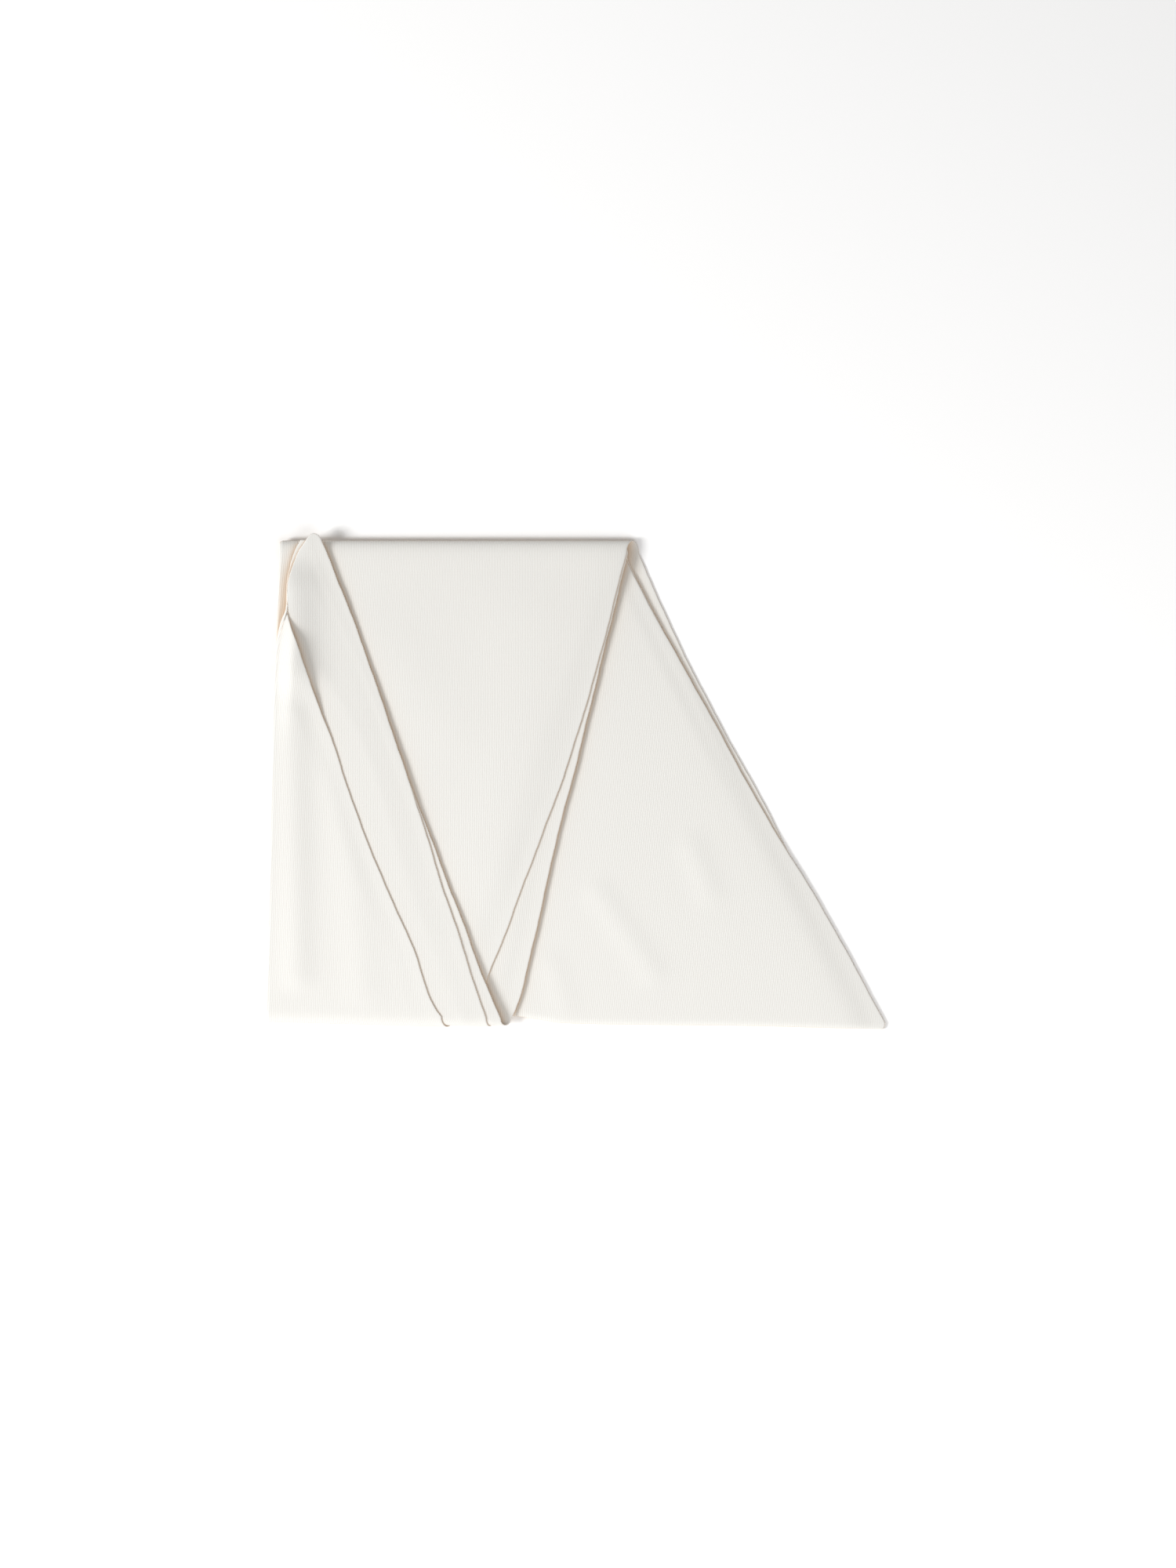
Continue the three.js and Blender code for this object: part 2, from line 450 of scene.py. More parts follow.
def full_thickness(distance):
    """Thickness of the cloth, which is more along the hem."""
    return CLOTH + HEM_EXTRA * (1 - smoothstep(*HEM_FADE, distance))


def rounded_thickness(distance):
    """The same, closing to nothing at the cut edge in a small round."""
    reach = np.clip(np.asarray(distance, float) / EDGE_ROUND, 0, 1)
    return full_thickness(distance) * np.sqrt(np.clip(1 - (1 - reach) ** 2, 0, 1))


# Creases of a ply: start, end, width and height
CREASES = {
    ("front", "a"): [
        ((-152, 40), (-149, -110), 6, 1.0),
        ((-126, 10), (-112, -120), 7, 0.5),
    ],
    ("front", "b"): [
        ((-153, 112), (-150, 50), 9, 3.0),
        ((-60, -60), (-48, -130), 6, 0.6),
    ],
    ("front", "c"): [((-60, -80), (-40, -131), 5, 1.3)],
    ("middle", "d"): [
        ((-120, 90), (-60, 20), 14, 0.5),
        ((-20, 100), (-45, -60), 16, 0.5),
    ],
    ("back", "a"): [
        ((9, -56), (44, -107), 5, 0.55),
        ((60, -31), (74, -65), 5, 0.5),
        ((-14, -95), (-4, -126), 5, 0.4),
    ],
}


def looseness(part, layer):
    """How far a ply stands off the one below: unevenness everywhere, and its own creases."""
    seed = SEED_STEP * STACK.index((part, layer)) + FIRST_SEED
    amount = UNEVENNESS[part] if (part, layer) in SEEN else HIDDEN_UNEVENNESS
    broad = ripple(seed, BROAD_RIPPLE, amount)
    fine = ripple(seed + 1, FINE_RIPPLE, amount / BROAD_TO_FINE)
    return broad + fine + sum(ridge(*crease) for crease in CREASES.get((part, layer), []))


def below_roof(height, roof):
    """The height, eased so that it stays below the roof."""
    if np.isinf(roof).all():
        return height
    return roof - ROOF_SOFTNESS * np.logaddexp(0, (roof - height) / ROOF_SOFTNESS)


def lay_plies(plies):
    """Lays each ply on the ones below and keeps the height of its middle surface."""
    top = np.zeros(X.shape)
    for part, layer in STACK:
        ply = plies[part, layer]
        distance = np.clip(ply.edge_distance(), 0, None)
        thickness = full_thickness(distance)
        rest = drape(np.maximum(top, PASS_FLOOR[part]), STIFFNESS)
        curl = EDGE_CURL * np.exp(-distance / CURL_REACH) if (part, layer) in SEEN else 0
        free = smoothstep(0, HELD_DOWN, distance)
        height = rest + (looseness(part, layer) + LOFT) * free + curl + thickness / 2
        ply.height = below_roof(height, PASS_ROOF[part] - thickness / 2)
        top = np.where(ply.covers(), ply.height + thickness / 2, top)


# ---------------------------------------------------------------- strips of cloth

# Radius of the side fold
SIDE_ROUND = 1.5

# Where the front pass turns over at its left: the cut edge curls up from CURL_START above the
# turn and lies over from CURL_END below it
CURL_START = 13.0
CURL_END = 6.0

# The turned-over edge stands off by about CURL_LIFT. This is most at CURL_DROP below the turn and
# fades over CURL_LENGTH along the fold. Across the ply it rises over LIFT_RISE and fades over
# LIFT_REACH
CURL_LIFT = 4.2
CURL_DROP = 24.0
CURL_LENGTH = 30.0
LIFT_RISE = 9.0
LIFT_REACH = 22.0

# Waves of a cut edge, as height and length, and how near the turn and the point they die out
EDGE_WAVES = [(0.05, 7.5), (0.07, 15.0), (0.12, 41.0)]
STEADY_AT_TURN = 8
STEADY_AT_POINT = 10
LAYER_SEED = {"a": 11, "b": 23, "c": 37, "d": 51}

# How much the ribs of each pass lean, and how far in from the fold the full lean is reached
LEAN = {"front": 0.0, "middle": 0.11, "back": 0.15}
LEAN_REACH = 200

# A ply narrower than this many edge strips has its columns drawn together, and one narrower
# than SLANT_WIDTH has its rows made level, fully so at LEVEL_WIDTH
FULL_STRIPS = 2.2
LEVEL_WIDTH = 0.5
SLANT_WIDTH = 30

# First guess of where the top folds start, below the highest point
GUESS_BELOW_TIP = 8

# Half an ellipse is about pi times the hypotenuse of its radii, divided by this
ROOT_TWO = 1.41


def wander(y, seed):
    """The slight waviness of a cut edge."""
    turns = np.random.default_rng(seed).uniform(0, 2 * math.pi, len(EDGE_WAVES))
    return sum(a * np.sin(2 * math.pi * y / w + t) for (a, w), t in zip(EDGE_WAVES, turns))


def column_rule(middles):
    """Each column's distance from the cut edge is near * share + across * width."""
    steps = np.linspace(0, 1, middles + 2)[1:-1]
    last = EDGE_OFFSETS[-1]
    near = np.concatenate([EDGE_OFFSETS, last * (1 - 2 * steps), -EDGE_OFFSETS[::-1]])
    zeros, ones = np.zeros(len(EDGE_OFFSETS)), np.ones(len(EDGE_OFFSETS))
    return near, np.concatenate([zeros, steps, ones])


class Block:
    """Rows of points of two joined plies: positions, distance to the cut edge, and place
    across (u) and along (v) the ribs, all in millimetres."""

    def __init__(self, x, y, z, edge, u, v):
        self.x, self.y, self.z, self.edge, self.u, self.v = x, y, z, edge, u, v

    def fields(self):
        """All six, in the order above."""
        return [self.x, self.y, self.z, self.edge, self.u, self.v]


def edge_slope(curve, y):
    """What turns a distance along x into a distance square to the curve."""
    return 1 / np.hypot(1, (curve(y + 0.5) - curve(y - 0.5)))


def by_column(first, second):
    """Spreads the first ply's and the second ply's columns over the whole row."""
    share = np.arange(1, FOLD_STEPS) / FOLD_STEPS
    joint = first[..., -1:] * (1 - share) + second[..., :1] * share
    return np.concatenate([first, joint, second], axis=-1)


def edge_distances(width, near, across):
    """Every column's distance along x from the cut edge."""
    share = np.minimum(1, width / (FULL_STRIPS * EDGE_OFFSETS[-1]))
    return near * share + across * width


class Pair:
    """Two plies of one pass that are joined round the side fold. The first is a or d, whose
    cut edge is the cloth's one side, and the second b or c, whose cut edge is its other."""

    def __init__(self, plies, part, layers, middles):
        self.part = part
        self.layers = layers
        self.first, self.second = (plies[part, layer] for layer in layers)
        self.near, self.across = column_rule(middles)
        self.count = len(self.near)
        self.columns = 2 * self.count + FOLD_STEPS - 1

    def cut(self, ply, layer, y):
        """A ply's cut edge at y, with its waviness."""
        wave = wander(y, LAYER_SEED[layer])
        if self.part == "front":
            wave = wave * smoothstep(0, STEADY_AT_TURN, abs(y - LEAF_TURN))
            wave = wave * smoothstep(0, STEADY_AT_POINT, POINT - y)
        return ply.cut(y) + wave

    def side(self, y):
        """The side fold at y: where the second ply ends, where the first starts, and the angle
        the cloth turns through between them."""
        left = self.first.fold(y)
        angle = np.full(np.shape(y), np.pi)
        if self.part == "front":
            angle = np.pi * smoothstep(LEAF_TURN + CURL_START, LEAF_TURN - CURL_END, y)
        start = left + CLOTH / 2 * angle / np.pi + SIDE_ROUND * np.sin(np.minimum(angle, np.pi / 2))
        start = np.minimum(start, self.second.cut(y))
        return start, start - SIDE_ROUND * np.sin(angle), angle

    def lift(self, away, y):
        """How far the turned-over edge stands off, just below the place where it turns."""
        if (self.part, self.layers[0]) != ("front", "a"):
            return 0.0
        along = np.exp(-(((y - LEAF_TURN + CURL_DROP) / CURL_LENGTH) ** 2))
        return CURL_LIFT * along * smoothstep(0, LIFT_RISE, away) * np.exp(-away / LIFT_REACH)

    def first_height(self, x, y):
        """The first ply's height: it leaves the second's as the cloth turns over."""
        _, start, angle = self.side(y)
        low, high = sample(self.second.height, x, y), sample(self.first.height, x, y)
        lift = self.lift(np.maximum(x - start, 0), y)
        return low + (1 - np.cos(angle)) / 2 * (high - low + lift)

    def points(self, y):
        """Position, edge distance and place across the ribs of the rows at y, an array of rows
        by columns. 1 and 2 are the first and the second ply, and f the fold between them."""
        n = self.count
        y = self.gathered(y)
        y1, yf, y2 = y[:, :n], y[:, n:-n], y[:, -n:]
        cut1 = self.cut(self.first, self.layers[0], y1)
        cut2 = self.cut(self.second, self.layers[1], y2)
        flat1, in1, _ = self.side(y1)
        flat2 = self.side(y2)[0]
        flat, _, angle = self.side(yf)
        width1, width2 = np.maximum(cut1 - in1, 0), np.maximum(cut2 - flat2, 0)
        off1 = edge_distances(width1, self.near, self.across)
        off2 = edge_distances(width2, self.near[::-1], self.across[::-1])
        x1, x2 = np.maximum(cut1, in1) - off1, np.maximum(cut2, flat2) - off2
        z1, z2 = self.first_height(x1, y1), sample(self.second.height, x2, y2)
        share = 1 - np.arange(1, FOLD_STEPS) / FOLD_STEPS
        low = sample(self.second.height, flat, yf)
        rise = sample(self.first.height, flat, yf) - low
        xf = flat - SIDE_ROUND * np.sin(angle * share)
        zf = low + rise * (1 - np.cos(angle * share)) / 2
        arc = angle * (SIDE_ROUND + abs(rise) / 2) / 2
        slope1 = edge_slope(self.first.cut, y1[:, :1])
        slope2 = edge_slope(self.second.cut, y2[:, -1:])
        edge1 = off1 * slope1
        edgef = (width1[:, -1:] + arc * (1 - share)) * slope1
        from_first = (width1[:, -1:] + arc[:, -1:] + x2 - flat2) * slope1
        edge2 = np.minimum(off2 * slope2, from_first)
        lean = LEAN[self.part]
        u1 = arc[:, :1] + (x1 - in1) - flat1 + lean * smoothstep(0, LEAN_REACH, x1 - in1) * y1
        u2 = -x2 - lean * smoothstep(0, LEAN_REACH, x2 - flat2) * y2
        uf = arc * share - flat
        columns = ((x1, xf, x2), (y1, yf, y2), (z1, zf, z2), (edge1, edgef, edge2), (u1, uf, u2))
        return [np.hstack(parts) for parts in columns]

    def gathered(self, y):
        """The rows' y, made level over the first ply where it is too narrow to slant."""
        level_y = y[:, self.count : self.count + 1]
        start = self.side(level_y)[1]
        width = self.cut(self.first, self.layers[0], level_y) - start
        slant = np.ones(y.shape)
        slant[:, : self.count] = smoothstep(LEVEL_WIDTH, SLANT_WIDTH, width)
        return level_y + (y - level_y) * slant

    def ends(self, side):
        """Y of one end of every column: where the flat part meets a fold."""
        guess = BOTTOM if side == "low" else TIP - GUESS_BELOW_TIP
        y = np.full((1, self.columns), float(guess))
        x = self.points(y)[0][0]
        n = self.count
        first, second = (getattr(ply, f"{side}_end") for ply in (self.first, self.second))
        return by_column(first(x[:n]), second(x[-n:]))

    def block(self, start, end, shares, v_start, direction):
        """Rows from start to end, both an array of one y per column."""
        x, y, z, edge, u = self.points(start + (end - start) * shares[:, None])
        return Block(x, y, z, edge, u, v_start + direction * (y - start))


def row_shares(length):
    """Rows about ROW_STEP apart over a length, as shares of it."""
    return np.linspace(0, 1, max(FEWEST_ROWS, int(length / ROW_STEP)) + 1)


def bend(before, after, turns, bulge):
    """Rows that carry the cloth round a fold, from the last row before it to the first after."""
    last = [f[-1] for f in before.fields()]
    first = [f[0] for f in after.fields()]
    turn = np.pi * np.arange(1, BEND_STEPS)[:, None] / BEND_STEPS
    share = (1 - np.cos(turn)) / 2
    x, y, z, edge, u = (a + (b - a) * share for a, b in zip(last[:5], first[:5]))
    y = y + bulge * turns * np.sin(turn)
    arc = np.pi * np.hypot(turns, abs(last[2] - first[2]) / 2) / ROOT_TWO
    v = last[5] + arc * turn / np.pi
    after.v = after.v + (last[5] + arc)
    return Block(x, y, z, edge, u, v)


def joined(*blocks):
    """The fields of several blocks, row after row."""
    return [np.vstack(parts) for parts in zip(*(b.fields() for b in blocks))]


# ---------------------------------------------------------------- meshes

class Sheet:
    """A grid of points on the cloth's middle surface, with normals and thickness."""

    def __init__(self, blocks):
        x, y, z, self.edge, self.u, self.v = joined(*blocks)
        self.edge = np.clip(self.edge, 0, None)
        self.points = np.stack([x, y, z], axis=-1)
        across = np.gradient(self.points, axis=1)
        along = np.gradient(self.points, axis=0)
        normal = np.cross(across, along)
        length = np.linalg.norm(normal, axis=-1, keepdims=True)
        self.normal = normal / np.maximum(length, TINY)
        self.half = rounded_thickness(self.edge)[..., None] / 2 * self.normal

    def shell(self):
        """Vertices, faces, cap faces and knit coordinates of the closed cloth."""
        rows, columns = self.edge.shape
        outer = (self.points + self.half).reshape(-1, 3)
        inner = (self.points - self.half).reshape(-1, 3)
        n = np.arange(rows * columns).reshape(rows, columns)
        quads = np.stack([n[:-1, :-1], n[:-1, 1:], n[1:, 1:], n[1:, :-1]], axis=-1).reshape(-1, 4)
        under = quads[:, ::-1] + n.size
        caps = []
        for line in (n[0], n[-1][::-1], n[:, -1], n[::-1, 0]):
            start, end = line[1:], line[:-1]
            caps.append(np.stack([start, end, end + n.size, start + n.size], axis=-1))
        knit = np.stack([self.u, self.v, self.edge], axis=-1).reshape(-1, 3)
        points, faces = np.vstack([outer, inner]), np.vstack([quads, under])
        return points, faces, np.vstack(caps), np.vstack([knit, knit])


# Points that agree to this many decimals of a millimetre are one point
MERGE_DECIMALS = 4


def merged(points, faces):
    """Joins points that coincide and drops faces that have collapsed."""
    rounded = np.round(points, MERGE_DECIMALS)
    _, kept, place = np.unique(rounded, axis=0, return_index=True, return_inverse=True)
    place = place.reshape(-1)
    solid = []
    for number, face in enumerate(place[faces].tolist()):
        corners = [c for c, before in zip(face, face[-1:] + face[:-1]) if c != before]
        if len(set(corners)) == len(corners) >= 3:
            solid.append((number, corners))
    return kept, solid


def mesh_object(name, points, faces, knit, caps=()):
    """A smooth mesh in metres from points in millimetres. Cap faces have sharp borders."""
    every = np.vstack([faces, caps]) if len(caps) else faces
    kept, solid = merged(points, every)
    mesh = bpy.data.meshes.new(name)
    mesh.from_pydata((points[kept] * MM).tolist(), [], [corners for _, corners in solid])
    attribute = mesh.attributes.new("knit", "FLOAT_VECTOR", "POINT")
    attribute.data.foreach_set("vector", knit[kept].astype(np.float32).ravel())
    is_cap = [number >= len(faces) for number, _ in solid]
    mesh.polygons.foreach_set("use_smooth", [not cap for cap in is_cap])
    mesh.update()
    beside = np.zeros((len(mesh.edges), 2), bool)
    for polygon, cap in zip(mesh.polygons, is_cap):
        beside[[mesh.loops[loop].edge_index for loop in polygon.loop_indices], int(cap)] = True
    sharp = mesh.attributes.new("sharp_edge", "BOOLEAN", "EDGE")
    sharp.data.foreach_set("value", beside.all(axis=1))
    obj = bpy.data.objects.new(name, mesh)
    bpy.context.scene.collection.objects.link(obj)
    return obj


def shells_object(name, sheets):
    """One object from the closed shells of several strips."""
    points, faces, caps, knit = zip(*(sheet.shell() for sheet in sheets))
    starts = np.cumsum([0] + [len(p) for p in points[:-1]])
    faces = np.vstack([f + start for f, start in zip(faces, starts)])
    caps = np.vstack([c + start for c, start in zip(caps, starts)])
    return mesh_object(name, np.vstack(points), faces, np.vstack(knit), caps)


# Each stitch's points: distance from the cut edge, lead along it in stitches, and which face
STITCH_PATH = [(0.5, 0.18, 1), (0.25, 0.08, 1), (0.0, 0.0, 0), (0.25, -0.08, -1), (0.5, -0.18, -1)]
STITCH_SEED = 100

# A thread's ends: how far round a half circle they start, and how blunt they are
TAPER_START = 0.25
TAPER_POWER = 0.4


def stitches(sheet, side, seed):
    """Overlock stitches along one cut edge: short slanted threads that wrap round the edge."""
    near = len(EDGE_OFFSETS)
    points, normals, edge = (f[:, side][:, :near] for f in (sheet.points, sheet.normal, sheet.edge))
    line = points[:, 0]
    run = np.concatenate([[0], np.cumsum(np.linalg.norm(np.diff(line, axis=0), axis=1))])
    count = int(run[-1] / STITCH)
    random = np.random.default_rng(seed)
    paths = []
    for n in range(1, count):
        path = []
        for depth, lead, face in STITCH_PATH:
            at = (n + lead) * STITCH + random.uniform(-STITCH_STRAY, STITCH_STRAY)
            row = np.interp(at, run, np.arange(len(run)))
            path.append(on_cloth(points, normals, edge, row, depth, face))
        paths.append(path)
    return paths


def on_cloth(points, normals, edge, row, depth, face):
    """A point on one face of the cloth, a given distance in from the cut edge."""
    i = min(int(row), len(points) - 2)
    share = row - i
    spot = np.zeros(3)
    for r, weight in ((i, 1 - share), (i + 1, share)):
        if weight == 0:
            continue
        near = [np.interp(depth, edge[r], points[r, :, k]) for k in range(3)]
        up = [np.interp(depth, edge[r], normals[r, :, k]) for k in range(3)]
        lift = face * (float(rounded_thickness(depth)) / 2 - THREAD / 2)
        spot += weight * (np.array(near) + lift * np.array(up))
        if depth == 0:
            inwards = points[r, 0] - points[r, 3]
            spot += weight * THREAD / 2 * inwards / max(np.linalg.norm(inwards), TINY)
    return spot


def tubes(paths, radius):
    """Thin four-sided threads along paths of equal length."""
    paths = np.array(paths)
    tangent = np.gradient(paths, axis=1)
    tangent /= np.maximum(np.linalg.norm(tangent, axis=-1, keepdims=True), TINY)
    side = np.cross(tangent, [0, 0, 1])
    side /= np.maximum(np.linalg.norm(side, axis=-1, keepdims=True), TINY)
    up = np.cross(side, tangent)
    count, steps = paths.shape[:2]
    taper = np.sin(np.linspace(TAPER_START, np.pi - TAPER_START, steps))
    size = radius * taper[None, :, None] ** TAPER_POWER
    corners = [paths + side * size, paths + up * size, paths - side * size, paths - up * size]
    rings = np.stack(corners, axis=2)
    n = np.arange(count * steps * 4).reshape(count, steps, 4)
    around = np.roll(n, -1, axis=2)
    walls = np.stack([n[:, :-1], around[:, :-1], around[:, 1:], n[:, 1:]], axis=-1).reshape(-1, 4)
    ends = np.vstack([n[:, 0, ::-1], n[:, -1]])
    return rings.reshape(-1, 3), np.vstack([walls, ends])


def thread_object(name, sheets):
    """All the overlock stitches along the cut edges of several strips."""
    paths = []
    for number, sheet in enumerate(sheets):
        for side in (slice(None), slice(None, None, -1)):
            paths += stitches(sheet, side, STITCH_SEED + number)
    points, faces = tubes(paths, THREAD)
    return mesh_object(name, points, faces, np.zeros_like(points))


# ---------------------------------------------------------------- the three cloth pieces

# Y of the lines where one piece of the cloth ends and the next starts
SPLIT_LOW = -112
SPLIT_TOP = 110

# Y of the other point of the cloth, which lies under the one that shows
UNDER_TIP = POINT - 3.6

# Columns between a ply's two edge strips, and about how far each block of rows runs. They only
# set how fine the mesh is
MIDDLES = {"front": 44, "middle": 58, "back": 100}
FRONT_TURN_RUN = 20
MIDDLE_RUN = 230
MIDDLE_TURN_RUN = 10
BACK_RUN = 235

# The layers joined round the side fold, the one that turns over first
PAIRS = ("ab", "dc")


def level(pair, y):
    """The same y for every column."""
    return np.full((1, pair.columns), float(y))


def turn_of(pair, table):
    """Every column's length of the rounded part of a fold."""
    first, second = (np.full(pair.count, table[layer][1]) for layer in pair.layers)
    return by_column(first, second)


def front_sheet(plies, layers):
    """From the cloth's point down the front pass, round the bottom fold, to the middle pass."""
    front = Pair(plies, "front", layers, MIDDLES["front"])
    middle = Pair(plies, "middle", layers, MIDDLES["front"])
    tip = POINT if layers == "ab" else UNDER_TIP
    low = front.ends("low")
    length = tip - float(low.mean())
    shares = np.concatenate([TIP_ROWS / length, row_shares(length)[2:]])
    down = front.block(level(front, tip), low, shares, 0, -1)
    down.edge = np.minimum(down.edge, tip - down.y)
    start = middle.ends("low")
    up = middle.block(start, level(middle, SPLIT_LOW), row_shares(FRONT_TURN_RUN), 0, 1)
    return Sheet([down, bend(down, up, turn_of(front, LOW_TURN), -1), up])


def middle_sheet(plies, layers):
    """Up the middle pass, round the top fold, to the start of the back pass."""
    middle = Pair(plies, "middle", layers, MIDDLES["middle"])
    back = Pair(plies, "back", layers, MIDDLES["middle"])
    high = middle.ends("high")
    up = middle.block(level(middle, SPLIT_LOW), high, row_shares(MIDDLE_RUN), 0, 1)
    start = back.ends("high")
    down = back.block(start, level(back, SPLIT_TOP), row_shares(MIDDLE_TURN_RUN), 0, -1)
    return Sheet([up, bend(up, down, turn_of(middle, TOP_TURN), 1), down])


def back_sheet(plies):
    """Down the back pass, round its own bottom fold, and up again: all four plies."""
    upper = Pair(plies, "back", "ab", MIDDLES["back"])
    lower = Pair(plies, "back", "dc", MIDDLES["back"])
    shares = row_shares(BACK_RUN)
    down = upper.block(level(upper, SPLIT_TOP), upper.ends("low"), shares, 0, -1)
    up = lower.block(lower.ends("low"), level(lower, SPLIT_TOP), shares, 0, 1)
    return Sheet([down, bend(down, up, turn_of(upper, END_TURN), -1), up])


# ---------------------------------------------------------------- materials

# Colours of the knit: two tones of its threads, the painted shade in the grooves between ribs, and
# the hem
CREAM = (0.785, 0.78, 0.752)
FUZZ = (0.745, 0.738, 0.708)
PAINTED_GROOVE_SHADE = (0.46, 0.40, 0.34)
HEM_TONE = (0.745, 0.735, 0.705)

# Scales of the knit's slow unevenness, of its fuzz and of the thread's grain, and how far the
# slow unevenness shifts the ribs
SLOW_SCALE = 0.35
FUZZ_SCALE = 2.6
GRAIN_SCALE = 2500
RIB_DRIFT = 0.5

# The ribs come in between these distances from the cut edge, on a line that is this ragged
RIB_START = 1.5
RIB_FULL = HEM + 3.0
RAGGED = 5.0

# How dark the painted shade in the grooves is and how much of that the stitch rows make, and the
# heights of stitch rows and fuzz when a rib's is 1
GROOVE_SHADE_STRENGTH = 0.30
ROW_SHADE = 0.2
ROW_HEIGHT = 0.1
FUZZ_HEIGHT = 0.55

# Painted shade: the colour is darkened and warmed by ambient occlusion where other cloth lies over
# this one: how near it has to be, in metres, how strongly it is painted, and its tint
PAINTED_SHADE_DISTANCE = 0.014
PAINTED_SHADE_GAIN = 2.2
PAINTED_SHADE_TINT = (0.96, 0.78, 0.62)

# Height of the knit's relief and of the thread's, in metres
KNIT_RELIEF = 0.00010
THREAD_RELIEF = 0.00005


class Nodes:
    """Short helpers for building a node material."""

    def __init__(self, name):
        self.material = bpy.data.materials.new(name)
        self.material.use_nodes = True
        self.tree = self.material.node_tree
        self.shader = self.tree.nodes["Principled BSDF"]

    def add(self, kind, **settings):
        """A new node with its settings."""
        node = self.tree.nodes.new(kind)
        for key, value in settings.items():
            setattr(node, key, value)
        return node

    def link(self, source, target):
        self.tree.links.new(source, target)

    def math(self, operation, a, b=0.0):
        """One operation on two numbers or sockets."""
        node = self.add("ShaderNodeMath", operation=operation)
        for socket, value in zip(node.inputs, (a, b)):
            if isinstance(value, (int, float)):
                socket.default_value = value
            else:
                self.link(value, socket)
        return node.outputs[0]

    def wave(self, value, pitch):
        """1 in the middle of each period and 0 between."""
        turned = self.math("COSINE", self.math("MULTIPLY", value, 2 * math.pi / pitch))
        return self.math("MULTIPLY", self.math("ADD", turned, 1.0), 0.5)

    def ramp(self, value, low, high):
        """0 up to low and 1 from high on."""
        node = self.add("ShaderNodeMapRange", interpolation_type="SMOOTHSTEP")
        self.link(value, node.inputs["Value"])
        node.inputs["From Min"].default_value = low
        node.inputs["From Max"].default_value = high
        return node.outputs["Result"]

    def noise(self, vector, scale, detail):
        """Cloudy noise between 0 and 1."""
        node = self.add("ShaderNodeTexNoise")
        self.link(vector, node.inputs["Vector"])
        node.inputs["Scale"].default_value = scale
        node.inputs["Detail"].default_value = detail
        return node.outputs["Fac"]

    def mix(self, share, a, b, blend_type="MIX"):
        """Colour a turned into b by a share, or blended with it in another way."""
        node = self.add("ShaderNodeMix", data_type="RGBA", blend_type=blend_type)
        sockets = {s.identifier: s for s in node.inputs}
        for name, value in (("Factor_Float", share), ("A_Color", a), ("B_Color", b)):
            if isinstance(value, tuple):
                sockets[name].default_value = (*value, 1)
            elif isinstance(value, float):
                sockets[name].default_value = value
            else:
                self.link(value, sockets[name])
        return next(s for s in node.outputs if s.identifier == "Result_Color")

    def tucked(self, colour):
        """The colour with painted shade: warmer and darker where other cloth lies close over it."""
        # Painted shade: ambient occlusion darkens and warms the colour near other cloth
        near = self.add("ShaderNodeAmbientOcclusion", samples=8)
        near.inputs["Distance"].default_value = PAINTED_SHADE_DISTANCE
        cover = self.math("MULTIPLY", self.math("SUBTRACT", 1.0, near.outputs["AO"]), PAINTED_SHADE_GAIN)
        return self.mix(cover, colour, self.mix(1.0, colour, PAINTED_SHADE_TINT, "MULTIPLY"))

    def relief(self, height, strength, distance):
        """A bump on the shader, from a height."""
        bump = self.add("ShaderNodeBump")
        bump.inputs["Strength"].default_value = strength
        bump.inputs["Distance"].default_value = distance
        self.link(height, bump.inputs["Height"])
        self.link(bump.outputs[0], self.shader.inputs["Normal"])

    def material_with(self, **settings):
        """Sets the shader's plain inputs, with spaces for underscores, and gives the material."""
        for name, value in settings.items():
            self.shader.inputs[name.replace("_", " ")].default_value = value
        return self.material


def knit_material():
    """Fine rib knit: ribs along the cloth with painted shade in the grooves, small stitch holes
    between them, fuzzy hem.
    """
    n = Nodes("rib_knit")
    knit = n.add("ShaderNodeAttribute", attribute_name="knit")
    split = n.add("ShaderNodeSeparateXYZ")
    n.link(knit.outputs["Vector"], split.inputs[0])
    u, v, edge = split.outputs
    slow = n.noise(knit.outputs["Vector"], SLOW_SCALE, 2.0)
    fuzz = n.noise(knit.outputs["Vector"], FUZZ_SCALE, 4.0)
    drift = n.math("ADD", u, n.math("MULTIPLY", slow, RIB_DRIFT))
    rib = n.wave(drift, RIB)
    stitch = n.wave(v, COURSE)
    plain = n.ramp(n.math("ADD", edge, n.math("MULTIPLY", fuzz, RAGGED)), RIB_START, RIB_FULL)
    # Painted shade: the grooves between the ribs and the stitch holes in them are darkened in the
    # colour
    valley = n.math("SUBTRACT", 1.0, rib)
    along = n.math("ADD", n.math("MULTIPLY", stitch, ROW_SHADE), 1 - ROW_SHADE)
    hole = n.math("MULTIPLY", n.math("POWER", valley, 2.0), along)
    shade = n.math("MULTIPLY", n.math("MULTIPLY", hole, plain), GROOVE_SHADE_STRENGTH)
    ground = n.mix(plain, HEM_TONE, n.mix(fuzz, CREAM, FUZZ))
    n.link(n.tucked(n.mix(shade, ground, PAINTED_GROOVE_SHADE)), n.shader.inputs["Base Color"])
    loops = n.math("MULTIPLY", n.math("ADD", rib, n.math("MULTIPLY", stitch, ROW_HEIGHT)), plain)
    n.relief(n.math("ADD", loops, n.math("MULTIPLY", fuzz, FUZZ_HEIGHT)), 0.5, KNIT_RELIEF)
    return n.material_with(
        Roughness=0.93,
        Specular_IOR_Level=0.2,
        Sheen_Weight=0.12,
        Sheen_Roughness=0.6,
    )


